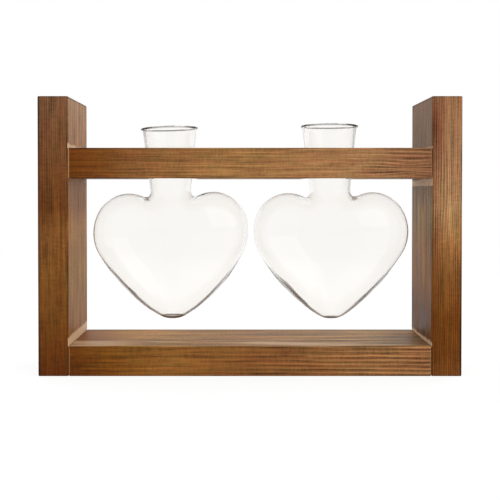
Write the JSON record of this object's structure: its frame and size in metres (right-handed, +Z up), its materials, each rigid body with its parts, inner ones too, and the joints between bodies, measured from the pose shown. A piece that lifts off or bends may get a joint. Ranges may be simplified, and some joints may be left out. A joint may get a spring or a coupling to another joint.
{
  "type": "propagation vase",
  "caption": "Free-standing wooden stand whose notched rail carries blown glass heart vases by their necks, for rooting cuttings in water.",
  "frame": {"origin": "on the ground under the middle of the stand", "axes": "+Z up, +X to the right seen from the front, -Y the front, +Y the rear that the notches open to"},
  "size_m": [0.2798, 0.065, 0.1849],
  "materials": {
    "stained_wood": "walnut stain on softwood, thin satin coat over open straight grain",
    "screw_steel": "zinc plated",
    "clear_glass": "clear, hand blown, fire polished rim"
  },
  "bodies": {
    "stand": {"left_post": "stained_wood", "right_post": "stained_wood", "bottom_rail": "stained_wood", "vase_rail": "stained_wood", "wood_screws": "screw_steel"},
    "left_vase": {"left_vase": "clear_glass"},
    "right_vase": {"right_vase": "clear_glass"}
  },
  "joints": [
    {"name": "left_vase_pull_out", "type": "slide", "parent": "stand", "child": "left_vase", "axis": [0, 1, 0], "range_m": [0, 0.06]},
    {"name": "right_vase_pull_out", "type": "slide", "parent": "stand", "child": "right_vase", "axis": [0, 1, 0], "range_m": [0, 0.06]}
  ]
}
